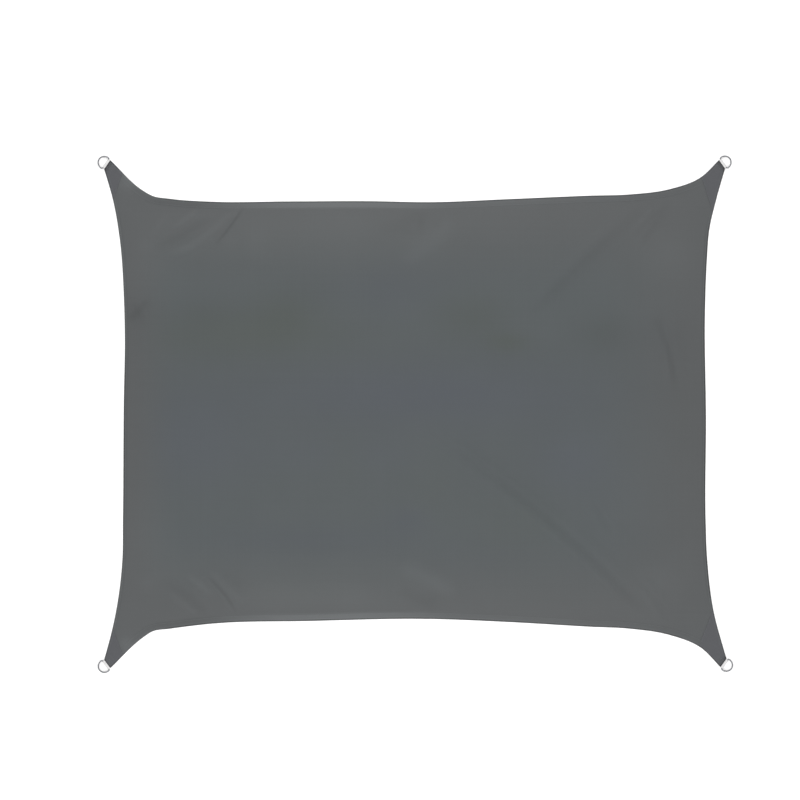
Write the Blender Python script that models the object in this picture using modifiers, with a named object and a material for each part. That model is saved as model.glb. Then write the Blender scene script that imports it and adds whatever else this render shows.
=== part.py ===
"""Shade sail of 5 x 4 m, laid out flat on the ground.

One hemmed polyester cloth runs out into four tips. Each tip carries a sewn corner patch, a webbing loop
and a steel D ring, by which the sail is stretched between its posts.

Metres, +Z up. The long sides run along X, the underside of the cloth lies on z = 0, and the origin is on
the ground at the middle of the sail.
"""

import math

import bmesh
import bpy
import numpy as np
from mathutils import Matrix, Vector
from mathutils.geometry import interpolate_bezier

# ---- driving dimensions ----

CLOTH_THICKNESS = 0.0012
HEM_THICKNESS = 0.0020  # the cloth turned over on itself
LONG_SIDE_HEM = 0.055
SHORT_SIDE_HEM = 0.029  # measured along the long sides; about 22 mm square to the short side
HEM_STEP = 0.005  # over which the hem's inner edge comes down to the single cloth
GAP = 0.0003  # between pieces that are sewn or pressed together

WEBBING_THICKNESS = 0.0015
WEBBING_WIDTH = 0.076
WEBBING_TAIL = 0.045  # sewn in between cloth and patch, behind the cut end of the tip
TAIL_TRIM = 0.004  # of the trimmed corner of the webbing's tail inside the sail's long side

RING_WIRE = 0.010
RING_WIDTH = 0.100  # between the wire's centre lines
RING_DEPTH = 0.064  # from the bar to the crest of the bow
RING_BEND = 0.010  # radius of the wire at the ends of the bar
BAR_TO_CLOTH = 0.0125  # the bar's centre line stands this far outside the cut end

PATCH_THICKNESS = 0.0012
PATCH_INSET = 0.002  # of the patch's rim inside the sail's rim
PATCH_FALL = 0.015  # over which the patch comes down behind the webbing's tail

CLOTH_PITCH = 0.046  # spacing of the cloth's mesh
EDGE_STEPS = 12  # between two points of an edge
SHARP_ANGLE = math.radians(30)  # between faces that meet in an edge and not in a rounding

# ---- the sail's outline ----
# Each edge is a smooth line through (x, y). The edges don't meet: the short straight gap between the ends of
# two is the cut end of a tip, where its webbing goes in.

TOP_EDGE = [
    (-2.441, 2.029), (-2.170, 1.779), (-2.107, 1.744), (-1.962, 1.719), (-1.640, 1.696),
    (-1.000, 1.698), (-0.360, 1.700), (0.118, 1.692), (0.758, 1.717), (1.398, 1.744),
    (1.718, 1.754), (2.038, 1.797), (2.278, 1.887), (2.430, 2.029),
]
BOTTOM_EDGE = [
    (-2.440, -2.036), (-2.170, -1.784), (-2.107, -1.743), (-1.962, -1.720), (-1.642, -1.681),
    (-0.842, -1.658), (0.118, -1.642), (0.758, -1.667), (1.398, -1.704), (1.718, -1.720),
    (2.038, -1.771), (2.278, -1.867), (2.442, -2.028),
]
LEFT_EDGE = [
    (-2.489, 1.958), (-2.418, 1.710), (-2.363, 1.390), (-2.330, 0.910), (-2.323, 0.590),
    (-2.331, 0.110), (-2.338, -0.850), (-2.343, -1.170), (-2.378, -1.490), (-2.425, -1.730),
    (-2.489, -1.971),
]
RIGHT_EDGE = [
    (2.478, 1.962), (2.406, 1.710), (2.351, 1.470), (2.332, 1.230), (2.317, 0.830),
    (2.325, -0.050), (2.322, -0.850), (2.335, -1.170), (2.384, -1.570), (2.489, -1.962),
]

# How far each corner patch reaches in from the cut end of its tip, along the long and along the short side.
PATCHES = [
    # corner, reach on the long side, reach on the short side
    ("top_left", 0.140, 0.200),
    ("top_right", 0.195, 0.285),
    ("bottom_left", 0.145, 0.210),
    ("bottom_right", 0.240, 0.320),
]

# ---- the folds ----
# A ridge stands up along its line. A valley is a line that stays on the ground between two low ridges. The
# bow moves the middle of the line to the left of its way from start to end.

FOLDS = [
    # kind, start x, start y, end x, end y, bow, half width, height
    ("ridge", -1.972, 1.393, -1.606, 1.592, 0.012, 0.055, 0.0070),
    ("ridge", -1.930, 1.486, -1.726, 1.600, 0.000, 0.045, 0.0045),
    ("ridge", -1.898, 1.280, -1.525, 1.382, 0.020, 0.060, 0.0060),
    ("ridge", -1.594, 1.366, -1.426, 1.614, 0.018, 0.050, 0.0090),
    ("ridge", -2.030, 1.215, -1.760, 1.330, 0.010, 0.055, 0.0045),
    ("ridge", -1.972, -1.300, -1.620, -1.560, 0.015, 0.055, 0.0065),
    ("ridge", -1.950, -1.462, -1.742, -1.600, 0.000, 0.045, 0.0045),
    ("ridge", -1.710, -1.263, -1.440, -1.583, 0.028, 0.050, 0.0095),
    ("ridge", -1.530, -1.300, -1.330, -1.480, 0.015, 0.060, 0.0050),
    ("valley", 0.883, 0.766, 1.746, 1.592, 0.000, 0.060, 0.0055),
    ("valley", 1.750, 1.374, 1.998, 1.654, 0.010, 0.045, 0.0045),
    ("valley", -0.018, -0.098, 1.814, -1.528, 0.090, 0.060, 0.0065),
    ("valley", 1.814, -1.330, 2.014, -1.626, 0.010, 0.045, 0.0045),
    ("valley", 1.414, -0.698, 1.582, -0.962, 0.000, 0.045, 0.0035),
    ("valley", 2.014, 0.729, 2.078, 0.230, 0.015, 0.045, 0.0045),
    ("ridge", -0.242, 1.214, 0.358, 1.534, 0.020, 0.100, 0.0060),
    ("ridge", -0.178, -1.162, 0.382, -1.426, -0.020, 0.100, 0.0060),
    ("ridge", -2.255, 0.930, -2.120, 0.700, 0.000, 0.050, 0.0050),
]
FOLD_RUN_OUT = 0.3  # the share of a fold's length over which it rises at each end

CLOTH_GREY = (0.115, 0.128, 0.128)
PATCH_GREY = (0.095, 0.106, 0.106)
WEBBING_GREY = (0.70, 0.71, 0.71)
STEEL = (0.62, 0.62, 0.63)


def smooth_line(points):
    """The points of a smooth curve through the given ones, which aims from each point at its neighbours."""
    points = [Vector((x, y, 0)) for x, y in points]
    spans = [b - a for a, b in zip(points, points[1:])]
    aims = [spans[0].normalized()]
    for before, after in zip(spans, spans[1:]):
        # The shorter span has the greater say, so the line stays tight where its points are close.
        aim = before.normalized() * after.length + after.normalized() * before.length
        aims.append(aim / (before.length + after.length))
    aims.append(spans[-1].normalized())
    line = [points[0]]
    for i, span in enumerate(spans):
        reach = span.length / 3
        handles = points[i] + aims[i] * reach, points[i + 1] - aims[i + 1] * reach
        line += interpolate_bezier(points[i], *handles, points[i + 1], EDGE_STEPS + 1)[1:]
    return np.array([(p.x, p.y) for p in line])


def along(line, shares):
    """The points at these shares of a line's length."""
    run = np.concatenate([[0], np.cumsum(np.linalg.norm(np.diff(line, axis=0), axis=1))])
    return np.column_stack([np.interp(shares, run / run[-1], line[:, k]) for k in (0, 1)])


EDGES = {
    "top": smooth_line(TOP_EDGE),
    "bottom": smooth_line(BOTTOM_EDGE),
    "left": smooth_line(LEFT_EDGE),
    "right": smooth_line(RIGHT_EDGE),
}
MID_WIDTH = along(EDGES["right"], [0.5])[0, 0] - along(EDGES["left"], [0.5])[0, 0]
MID_HEIGHT = along(EDGES["top"], [0.5])[0, 1] - along(EDGES["bottom"], [0.5])[0, 1]


class Corner:
    """A tip of the sail: the middle and direction of its cut end, and the two edges that run from it."""

    def __init__(self, name):
        self.name = name
        upper, side = name.split("_")
        self.long_edge = EDGES[upper] if side == "left" else EDGES[upper][::-1]
        self.short_edge = EDGES[side] if upper == "top" else EDGES[side][::-1]
        cut = self.short_edge[0] - self.long_edge[0]
        self.middle = (self.long_edge[0] + self.short_edge[0]) / 2
        outward = np.array([cut[1], -cut[0]]) / np.linalg.norm(cut)
        self.outward = outward if outward @ self.middle > 0 else -outward

    def frame(self):
        """X points outward from the tip, Y runs along its cut end, and the origin is on the ground."""
        turn = math.atan2(self.outward[1], self.outward[0])
        return Matrix.Translation((*self.middle, 0)) @ Matrix.Rotation(turn, 4, "Z")

    def depth(self, points):
        """How far points lie behind the cut end."""
        return (self.middle - points) @ self.outward

    def at_depth(self, edge, depth):
        """The point of one of the tip's edges that lies this far behind the cut end."""
        return [np.interp(depth, self.depth(edge), edge[:, k]) for k in (0, 1)]


CORNERS = {name: Corner(name) for name, *reach in PATCHES}


# ---- scene helpers ----


def clear_scene():
    for obj in list(bpy.data.objects):
        bpy.data.objects.remove(obj, do_unlink=True)


def make_material(name, colour, roughness, metallic=0.0):
    material = bpy.data.materials.new(name)
    material.use_nodes = True
    shader = material.node_tree.nodes["Principled BSDF"]
    shader.inputs["Base Color"].default_value = (*colour, 1)
    shader.inputs["Roughness"].default_value = roughness
    shader.inputs["Metallic"].default_value = metallic
    material.diffuse_color = (*colour, 1)
    return material


def add_object(name, data, collection, material=None, parent=None, place=None):
    obj = bpy.data.objects.new(name, data)
    collection.objects.link(obj)
    if material is not None and not data.materials:
        data.materials.append(material)
    if parent is not None:
        obj.parent = parent
    if place is not None:
        obj.matrix_local = place
    return obj


# ---- the cloth ----


def stations(hem, size):
    """The shares of the way across the sail at which its mesh has a line."""
    first, step = hem / size, (hem + HEM_STEP) / size
    middle = np.linspace(step, 1 - step, round(size / CLOTH_PITCH) + 1)
    return np.concatenate([[0, first], middle, [1 - first, 1]])


def cloth_points():
    """The cloth's mesh in plan, by row from the top and column from the left.

    Each point follows the opposite edges in proportion to its nearness to them.
    """
    across, down = stations(SHORT_SIDE_HEM, MID_WIDTH), stations(LONG_SIDE_HEM, MID_HEIGHT)
    top, bottom = along(EDGES["top"], across), along(EDGES["bottom"], across)
    # The cut ends of the tips fill the first and the last row, so the short sides start one row further in.
    hem = down[1]
    beside = (down[1:-1] - hem) / (1 - 2 * hem)
    left, right = (
        np.vstack([top[end], along(EDGES[side], beside), bottom[end]])
        for side, end in (("left", 0), ("right", -1))
    )
    u, v = across[None, :, None], down[:, None, None]
    between_rows = (1 - v) * top + v * bottom
    between_columns = (1 - u) * left[:, None] + u * right[:, None]
    top_corners = (1 - u) * top[0] + u * top[-1]
    bottom_corners = (1 - u) * bottom[0] + u * bottom[-1]
    return between_rows + between_columns - (1 - v) * top_corners - v * bottom_corners


def fold_heights(points):
    """How far the folds lift the cloth off the ground at each point in plan."""
    height = np.zeros(len(points))
    for kind, x0, y0, x1, y1, bow, half_width, rise in FOLDS:
        start, way = np.array([x0, y0]), np.array([x1 - x0, y1 - y0])
        length = np.linalg.norm(way)
        forward, left = way / length, np.array([-way[1], way[0]]) / length
        share = np.clip((points - start) @ forward / length, 0, 1)
        # The line bows out as a parabola over its chord.
        aside = (points - start) @ left - 4 * bow * share * (1 - share)
        past = (points - start) @ forward - share * length
        distance = np.hypot(aside, past)
        if kind == "valley":
            distance = np.abs(distance - half_width)
        bump = np.cos(np.clip(distance / half_width, 0, 1) * math.pi / 2) ** 2
        ends = np.clip(np.minimum(share, 1 - share) / FOLD_RUN_OUT, 0, 1)
        height += rise * bump * np.sin(ends * math.pi / 2)
    return height


def doubled(plan):
    """1 where the cloth is doubled, in its hems and under the corner patches, and 0 in the single cloth."""
    rows, columns = plan.shape[:2]
    weight = np.zeros((rows, columns))
    weight[:2] = weight[-2:] = weight[:, :2] = weight[:, -2:] = 1
    for name, long_reach, short_reach in PATCHES:
        reach = max(long_reach, short_reach) + 2 * CLOTH_PITCH
        weight[CORNERS[name].depth(plan) < reach] = 1
    return weight


def make_cloth(collection, material):
    plan = cloth_points()
    rows, columns = plan.shape[:2]
    lift = fold_heights(plan.reshape(-1, 2)).reshape(rows, columns)
    weight = doubled(plan)
    bm = bmesh.new()
    bmesh.ops.create_grid(bm, x_segments=columns - 1, y_segments=rows - 1, size=0.5)
    layer = bm.verts.layers.deform.verify()
    for vert in bm.verts:
        column = round((vert.co.x + 0.5) * (columns - 1))
        row = round((0.5 - vert.co.y) * (rows - 1))
        vert.co = (*plan[row, column], lift[row, column])
        vert[layer][0] = weight[row, column]
    mesh = bpy.data.meshes.new("sail_cloth")
    bm.to_mesh(mesh)
    bm.free()
    cloth = add_object("sail_cloth", mesh, collection, material)
    cloth.vertex_groups.new(name="doubled")
    sheet = cloth.modifiers.new("thickness", "SOLIDIFY")
    sheet.thickness = HEM_THICKNESS
    sheet.thickness_vertex_group = CLOTH_THICKNESS / HEM_THICKNESS
    sheet.vertex_group = "doubled"
    sheet.offset = 1
    mesh.shade_smooth()
    mesh.set_sharp_from_angle(angle=SHARP_ANGLE)


# ---- the corner patches ----

TAIL_BOTTOM = HEM_THICKNESS + GAP
TAIL_TOP = TAIL_BOTTOM + 2 * WEBBING_THICKNESS
PATCH_COLUMNS = 12
TAIL_ROWS = 6
TAIL_CLEARANCE = 0.010  # between the webbing's tail and where the patch starts to come down


def patch_height(x, y):
    """The patch's underside in the corner's frame: over the webbing's tail, down on the cloth around it."""
    behind = -x - WEBBING_TAIL - TAIL_CLEARANCE
    beside = abs(y) - WEBBING_WIDTH / 2 - TAIL_CLEARANCE
    fall = min(max(behind, beside, 0) / PATCH_FALL, 1)
    lift = (1 + math.cos(fall * math.pi)) / 2
    return TAIL_BOTTOM + lift * (TAIL_TOP + GAP - TAIL_BOTTOM)


def make_patch(corner, long_reach, short_reach, collection, material, parent):
    tail_end = WEBBING_TAIL + TAIL_CLEARANCE
    fallen = tail_end + PATCH_FALL
    depths = [(depth, depth) for depth in np.linspace(PATCH_INSET, tail_end, TAIL_ROWS)]
    depths += [(depth, depth) for depth in (tail_end + PATCH_FALL / 2, fallen)]
    for share in (1 / 3, 2 / 3, 1):
        depths.append([fallen + share * (reach - fallen) for reach in (long_reach, short_reach)])
    to_corner = corner.frame().inverted()
    rows = []
    for long_depth, short_depth in depths:
        ends = [
            corner.at_depth(corner.long_edge, long_depth),
            corner.at_depth(corner.short_edge, short_depth),
        ]
        rows.append([to_corner @ Vector((*end, 0)) for end in ends])
    bm = bmesh.new()
    bmesh.ops.create_grid(bm, x_segments=PATCH_COLUMNS, y_segments=len(rows) - 1, size=0.5)
    for vert in bm.verts:
        a, b = rows[round((vert.co.y + 0.5) * (len(rows) - 1))]
        width = (b - a).length
        share = PATCH_INSET / width + (vert.co.x + 0.5) * (1 - 2 * PATCH_INSET / width)
        place = a.lerp(b, share)
        vert.co = (place.x, place.y, patch_height(place.x, place.y))
    bm.normal_update()
    if sum(face.normal.z for face in bm.faces) < 0:
        bmesh.ops.reverse_faces(bm, faces=bm.faces)
    mesh = bpy.data.meshes.new(f"corner_patch_{corner.name}")
    bm.to_mesh(mesh)
    bm.free()
    mesh.shade_smooth()
    patch = add_object(mesh.name, mesh, collection, material, parent, Matrix())
    sheet = patch.modifiers.new("thickness", "SOLIDIFY")
    sheet.thickness = PATCH_THICKNESS
    sheet.offset = 1


# ---- the webbing loops ----

WRAP_RADIUS = RING_WIRE / 2 + GAP + WEBBING_THICKNESS
BAR_HEIGHT = WRAP_RADIUS  # the wrap rests on the ground
WRAP_STEPS = 24
WELD_DISTANCE = 0.00005  # joins the loose caps that a flat curve's mesh comes with


def circle_point(centre, radius, angle):
    return centre + radius * Vector((math.cos(angle), math.sin(angle)))


def tangent_angle(point, centre, radius, side):
    """The angle, seen from the centre, at which a line from the point touches the circle: side 1 above."""
    away = point - centre
    return math.atan2(away.y, away.x) - side * math.acos(radius / away.length)


def add_outline(curve, points):
    spline = curve.splines.new("POLY")
    spline.points.add(len(points) - 1)
    for target, point in zip(spline.points, points):
        target.co = (point.x, point.y, 0, 1)
    spline.use_cyclic_u = True


def webbing_profile():
    """The loop from the side, x outward and y up: a flat doubled tail that opens round the bar."""
    curve = bpy.data.curves.new("webbing_loop", "CURVE")
    curve.dimensions = "2D"
    curve.fill_mode = "BOTH"
    curve.extrude = WEBBING_WIDTH / 2
    bar = Vector((BAR_TO_CLOTH, BAR_HEIGHT))
    under, over = Vector((GAP, TAIL_BOTTOM)), Vector((-PATCH_INSET, TAIL_TOP))
    low = tangent_angle(under, bar, WRAP_RADIUS, -1)
    high = tangent_angle(over, bar, WRAP_RADIUS, 1)
    sweep = (high - low) % (2 * math.pi)
    turns = [low + sweep * i / WRAP_STEPS for i in range(WRAP_STEPS + 1)]
    wrap = [circle_point(bar, WRAP_RADIUS, turn) for turn in turns]
    tail = [Vector((-WEBBING_TAIL, TAIL_TOP)), Vector((-WEBBING_TAIL, TAIL_BOTTOM))]
    add_outline(curve, [under, *wrap, over, *tail])
    # The eye is a polygon, so its flats and not its corners keep the gap to the wire.
    eye = (RING_WIRE / 2 + GAP) / math.cos(math.pi / WRAP_STEPS)
    full_turn = [2 * math.pi * i / WRAP_STEPS for i in range(WRAP_STEPS)]
    add_outline(curve, [circle_point(bar, eye, turn) for turn in full_turn])
    return curve


def webbing_loop(corner):
    """The loop in its tip's frame, with the tail's corner trimmed to stay inside the long side."""
    profile = webbing_profile()
    untrimmed = bpy.data.objects.new("untrimmed_loop", profile)
    mesh = bpy.data.meshes.new_from_object(untrimmed)
    bpy.data.objects.remove(untrimmed)
    bpy.data.curves.remove(profile)
    bm = bmesh.new()
    bm.from_mesh(mesh)
    bmesh.ops.remove_doubles(bm, verts=bm.verts, dist=WELD_DISTANCE)
    bm.transform(Matrix.Rotation(math.pi / 2, 4, "X"))
    rim = corner.frame().inverted() @ Vector((*corner.at_depth(corner.long_edge, WEBBING_TAIL), 0))
    side = math.copysign(1, rim.y)
    start = Vector((0, side * WEBBING_WIDTH / 2, 0))
    end = Vector((-WEBBING_TAIL, rim.y - side * TAIL_TRIM, 0))
    outward = side * (end - start).cross(Vector((0, 0, 1)))
    everything = [*bm.verts, *bm.edges, *bm.faces]
    cut = bmesh.ops.bisect_plane(bm, geom=everything, plane_co=start, plane_no=outward, clear_outer=True)
    bmesh.ops.holes_fill(bm, edges=[item for item in cut["geom_cut"] if isinstance(item, bmesh.types.BMEdge)])
    bm.to_mesh(mesh)
    bm.free()
    mesh.shade_smooth()
    mesh.set_sharp_from_angle(angle=SHARP_ANGLE)
    return mesh


# ---- the D rings ----

RING_TILT = math.asin((BAR_HEIGHT - RING_WIRE / 2) / RING_DEPTH)
BEND_STEPS = 4
BOW_STEPS = 26


def ring_path():
    """The wire's centre line in the ring's plane: the bar on x = 0, two bends, and a bow out to the crest."""
    half = RING_WIDTH / 2
    bar_end = half - RING_BEND
    path = []
    for i in range(BEND_STEPS + 1):
        turn = math.pi / 2 * i / BEND_STEPS
        path.append((RING_BEND * (1 - math.cos(turn)), bar_end + RING_BEND * math.sin(turn)))
    for i in range(1, BOW_STEPS):
        turn = math.pi * i / BOW_STEPS
        path.append((RING_BEND + (RING_DEPTH - RING_BEND) * math.sin(turn), half * math.cos(turn)))
    path += [(x, -y) for x, y in reversed(path[: BEND_STEPS + 1])]
    return path


def ring_wire():
    curve = bpy.data.curves.new("d_ring", "CURVE")
    curve.dimensions = "3D"
    curve.bevel_depth = RING_WIRE / 2
    curve.bevel_resolution = 3
    path = ring_path()
    spline = curve.splines.new("POLY")
    spline.points.add(len(path) - 1)
    for target, (x, y) in zip(spline.points, path):
        target.co = (x, y, 0, 1)
    spline.use_cyclic_u = True
    spline.use_smooth = True
    return curve


# ---- the whole sail ----


def build():
    clear_scene()
    collection = bpy.data.collections.new("shade_sail")
    bpy.context.scene.collection.children.link(collection)
    cloth_material = make_material("polyester_cloth", CLOTH_GREY, 0.78)
    patch_material = make_material("reinforcing_cloth", PATCH_GREY, 0.80)
    webbing_material = make_material("webbing", WEBBING_GREY, 0.70)
    steel_material = make_material("polished_steel", STEEL, 0.22, metallic=1.0)

    make_cloth(collection, cloth_material)
    wire = ring_wire()
    bar_middle = Matrix.Translation((BAR_TO_CLOTH, 0, BAR_HEIGHT))
    ring_place = bar_middle @ Matrix.Rotation(RING_TILT, 4, "Y")
    for name, long_reach, short_reach in PATCHES:
        corner = CORNERS[name]
        tip = add_object(f"tip_{name}", None, collection, place=corner.frame())
        make_patch(corner, long_reach, short_reach, collection, patch_material, tip)
        add_object(f"webbing_loop_{name}", webbing_loop(corner), collection, webbing_material, tip, Matrix())
        add_object(f"d_ring_{name}", wire, collection, steel_material, tip, ring_place)


build()
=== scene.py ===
"""The looks of the shade sail: the sail laid out flat on a pale floor and seen from straight above.

Metres, +Z up. The long sides run along X, and the sail lies on z = 0, with the floor close under it.
"""

import math

import bmesh
import bpy
import numpy as np
from mathutils import Matrix, Vector
from mathutils.geometry import interpolate_bezier
from mathutils.kdtree import KDTree


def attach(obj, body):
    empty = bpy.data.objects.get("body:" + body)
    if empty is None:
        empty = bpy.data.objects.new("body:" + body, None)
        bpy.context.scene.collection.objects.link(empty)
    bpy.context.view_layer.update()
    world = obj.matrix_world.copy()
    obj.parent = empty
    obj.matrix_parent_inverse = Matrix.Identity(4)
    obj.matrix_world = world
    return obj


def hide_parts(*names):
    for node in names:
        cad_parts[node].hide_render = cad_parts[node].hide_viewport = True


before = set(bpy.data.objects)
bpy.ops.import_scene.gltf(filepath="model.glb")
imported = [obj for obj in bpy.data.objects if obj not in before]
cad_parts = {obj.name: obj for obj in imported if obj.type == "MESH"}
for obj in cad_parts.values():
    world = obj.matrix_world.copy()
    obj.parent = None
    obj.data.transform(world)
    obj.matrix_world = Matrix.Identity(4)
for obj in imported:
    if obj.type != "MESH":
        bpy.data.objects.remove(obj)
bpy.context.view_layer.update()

# ---- the sail's sizes, as in its solids ----

CLOTH_THICKNESS = 0.0012
HEM_THICKNESS = 0.0020
LONG_SIDE_HEM = 0.055
HEM_STEP = 0.005  # over which the hem's inner edge comes down to the single cloth
GAP = 0.0003
WEBBING_THICKNESS = 0.0015
WEBBING_WIDTH = 0.076
WEBBING_TAIL = 0.045
TAIL_TRIM = 0.004  # how far inside the sail's long side the trimmed corner of the webbing's tail lies
RING_WIRE = 0.010
RING_WIDTH = 0.100
RING_DEPTH = 0.064
RING_BEND = 0.010
BAR_TO_CLOTH = 0.0125
PATCH_THICKNESS = 0.0012
PATCH_INSET = 0.002
PATCH_FALL = 0.015
TAIL_CLEARANCE = 0.010
TAIL_BOTTOM = HEM_THICKNESS + GAP
TAIL_TOP = TAIL_BOTTOM + 2 * WEBBING_THICKNESS
BAR_HEIGHT = RING_WIRE / 2 + GAP + WEBBING_THICKNESS
RING_TILT = math.asin((BAR_HEIGHT - RING_WIRE / 2) / RING_DEPTH)

# Each edge is a smooth line through (x, y). The gap between the ends of two edges is the cut end of a tip.
TOP_EDGE = [
    (-2.441, 2.029), (-2.170, 1.779), (-2.107, 1.744), (-1.962, 1.719), (-1.640, 1.696),
    (-1.000, 1.698), (-0.360, 1.700), (0.118, 1.692), (0.758, 1.717), (1.398, 1.744),
    (1.718, 1.754), (2.038, 1.797), (2.278, 1.887), (2.430, 2.029),
]
BOTTOM_EDGE = [
    (-2.440, -2.036), (-2.170, -1.784), (-2.107, -1.743), (-1.962, -1.720), (-1.642, -1.681),
    (-0.842, -1.658), (0.118, -1.642), (0.758, -1.667), (1.398, -1.704), (1.718, -1.720),
    (2.038, -1.771), (2.278, -1.867), (2.442, -2.028),
]
LEFT_EDGE = [
    (-2.489, 1.958), (-2.418, 1.710), (-2.363, 1.390), (-2.330, 0.910), (-2.323, 0.590),
    (-2.331, 0.110), (-2.338, -0.850), (-2.343, -1.170), (-2.378, -1.490), (-2.425, -1.730),
    (-2.489, -1.971),
]
RIGHT_EDGE = [
    (2.478, 1.962), (2.406, 1.710), (2.351, 1.470), (2.332, 1.230), (2.317, 0.830),
    (2.325, -0.050), (2.322, -0.850), (2.335, -1.170), (2.384, -1.570), (2.489, -1.962),
]
PATCHES = [
    # corner, reach on the long side, reach on the short side, how dark the painted shade at its cut end is
    ("top_left", 0.140, 0.200, 0.48),
    ("top_right", 0.195, 0.285, 0.46),
    ("bottom_left", 0.145, 0.210, 0.04),
    ("bottom_right", 0.240, 0.320, 0.40),
]

# The main folds, as in the sail's solids: the bow moves the middle of a line to the left of its way.
FOLDS = [
    # kind, start x, start y, end x, end y, bow, half width, height
    ("ridge", -1.972, 1.393, -1.606, 1.592, 0.012, 0.055, 0.0070),
    ("ridge", -1.930, 1.486, -1.726, 1.600, 0.000, 0.045, 0.0045),
    ("ridge", -1.898, 1.280, -1.525, 1.382, 0.020, 0.060, 0.0060),
    ("ridge", -1.594, 1.366, -1.426, 1.614, 0.018, 0.050, 0.0090),
    ("ridge", -2.030, 1.215, -1.760, 1.330, 0.010, 0.055, 0.0045),
    ("ridge", -1.972, -1.300, -1.620, -1.560, 0.015, 0.055, 0.0065),
    ("ridge", -1.950, -1.462, -1.742, -1.600, 0.000, 0.045, 0.0045),
    ("ridge", -1.710, -1.263, -1.440, -1.583, 0.028, 0.050, 0.0095),
    ("ridge", -1.530, -1.300, -1.330, -1.480, 0.015, 0.060, 0.0050),
    ("valley", 0.883, 0.766, 1.746, 1.592, 0.000, 0.060, 0.0055),
    ("valley", 1.750, 1.374, 1.998, 1.654, 0.010, 0.045, 0.0045),
    ("valley", -0.018, -0.098, 1.814, -1.528, 0.090, 0.060, 0.0065),
    ("valley", 1.814, -1.330, 2.014, -1.626, 0.010, 0.045, 0.0045),
    ("valley", 1.414, -0.698, 1.582, -0.962, 0.000, 0.045, 0.0035),
    ("valley", 2.014, 0.729, 2.078, 0.230, 0.015, 0.045, 0.0045),
    ("ridge", -0.242, 1.214, 0.358, 1.534, 0.020, 0.100, 0.0060),
    ("ridge", -0.178, -1.162, 0.382, -1.426, -0.020, 0.100, 0.0060),
    ("ridge", -2.255, 0.930, -2.120, 0.700, 0.000, 0.050, 0.0050),
]
FOLD_RUN_OUT = 0.3

# Along a crease the shade is painted into the cloth's colour: painted shade on the crease, and painted light
# on the ridges beside it. The lift is the crease's own height, above or below the fold that it lies on.
CREASES = [
    # start x, start y, end x, end y, bow, half width, shade, lift
    (-1.598, 1.352, -1.366, 1.658, -0.004, 0.020, -0.120, -0.0030),
    (-1.610, 1.340, -1.400, 1.620, 0.000, 0.050, -0.030, 0.0000),
    (-1.626, 1.606, -2.098, 1.310, 0.015, 0.066, -0.050, 0.0000),
    (-1.746, 1.622, -1.962, 1.470, 0.000, 0.034, 0.055, 0.0030),
    (-1.482, 1.606, -1.962, 1.262, 0.035, 0.045, 0.060, 0.0035),
    (-1.978, 1.614, -2.138, 1.390, 0.000, 0.045, 0.030, 0.0020),
    (-1.658, -1.306, -1.430, -1.594, 0.018, 0.020, -0.130, -0.0030),
    (-1.834, -1.274, -1.610, -1.458, 0.000, 0.045, 0.055, 0.0035),
    (-1.658, -1.242, -1.370, -1.522, 0.000, 0.045, 0.055, 0.0035),
    (-2.042, -1.330, -1.658, -1.618, 0.030, 0.070, -0.050, 0.0000),
    (-1.978, -1.426, -1.754, -1.594, 0.000, 0.034, 0.060, 0.0030),
    (-0.130, 1.194, 0.338, 1.534, 0.000, 0.120, 0.075, 0.0000),
    (-0.300, 1.450, 0.140, 1.620, 0.000, 0.080, -0.035, 0.0000),
    (-0.138, -1.194, 0.342, -1.426, 0.000, 0.110, 0.075, 0.0000),
    (-0.150, -1.400, 0.200, -1.580, 0.000, 0.080, -0.045, 0.0000),
    (0.902, 0.758, 1.838, 1.654, 0.000, 0.070, -0.060, 0.0000),
    (1.798, 1.342, 2.022, 1.670, 0.010, 0.042, -0.050, 0.0000),
    (0.318, -0.210, 0.798, -0.610, 0.000, 0.150, -0.024, 0.0000),
    (0.678, -0.530, 1.158, -0.914, 0.000, 0.130, -0.036, 0.0000),
    (1.038, -0.834, 1.478, -1.290, 0.000, 0.110, -0.036, 0.0000),
    (1.398, -1.186, 1.814, -1.586, 0.000, 0.070, -0.045, 0.0000),
    (1.830, -1.280, 2.020, -1.610, 0.010, 0.038, -0.035, 0.0000),
    (1.414, -0.698, 1.582, -0.962, 0.000, 0.040, -0.020, 0.0000),
    (1.918, 0.766, 2.078, 0.174, 0.030, 0.045, -0.065, 0.0000),
    (-2.298, 0.734, -2.122, 0.926, 0.000, 0.050, -0.070, 0.0000),
]
UNEVENNESS = 0.0016
WAVES = [
    # length, turn, start
    (0.83, 0.35, 0.0),
    (0.61, 1.30, 2.1),
    (0.47, 2.20, 4.4),
    (1.10, 1.75, 1.2),
]
# The sail lies level this far in from the middles of its sides, and its unevenness rises inside that.
LEVEL_BORDER = {"long sides": 0.12, "short sides": 0.10}
UNEVENNESS_RISE = 0.30
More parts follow.
